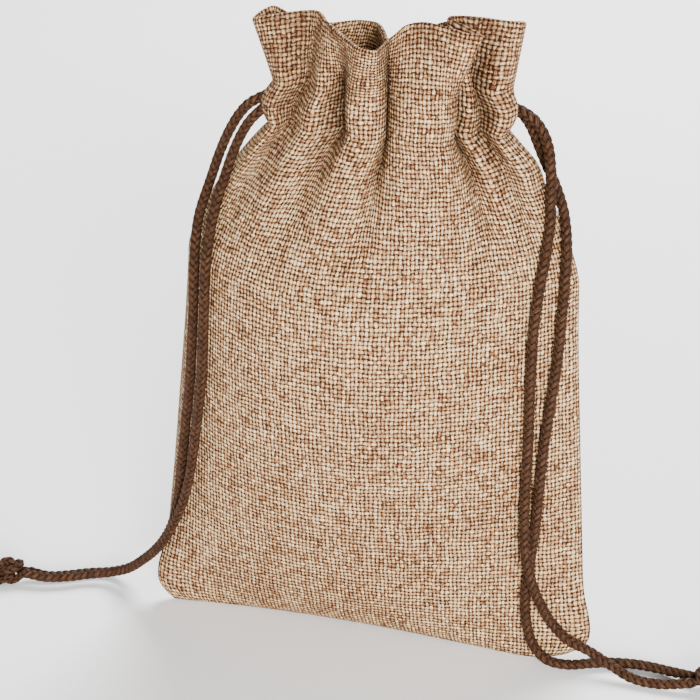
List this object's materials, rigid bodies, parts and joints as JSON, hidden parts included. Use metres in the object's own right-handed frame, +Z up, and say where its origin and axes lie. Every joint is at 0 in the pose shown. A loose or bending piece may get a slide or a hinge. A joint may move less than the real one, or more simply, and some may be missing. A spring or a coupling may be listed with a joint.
{
  "type": "drawstring burlap sack",
  "caption": "Small drawstring sack of jute-look plain-weave cloth, filled out, gathered at the neck and open at its flared mouth, with braided cords hanging from its side seams.",
  "frame": {"origin": "on the surface the sack stands on, below the middle of the cloth bag's own bounding box", "axes": "+Z up, -Y out of the front, +X towards the right side seam seen from the front"},
  "size_m": [0.192, 0.0457, 0.1443],
  "materials": {
    "cloth": "coarse plain weave of mottled tan, cream and rust yarns, matte",
    "cord": "round brown braid, slight sheen"
  },
  "bodies": {
    "root": {"bag": "cloth", "cord_left_a": "cord", "cord_left_b": "cord", "cord_right_a": "cord", "cord_right_b": "cord", "knot_left": "cord", "knot_right": "cord"}
  },
  "joints": []
}
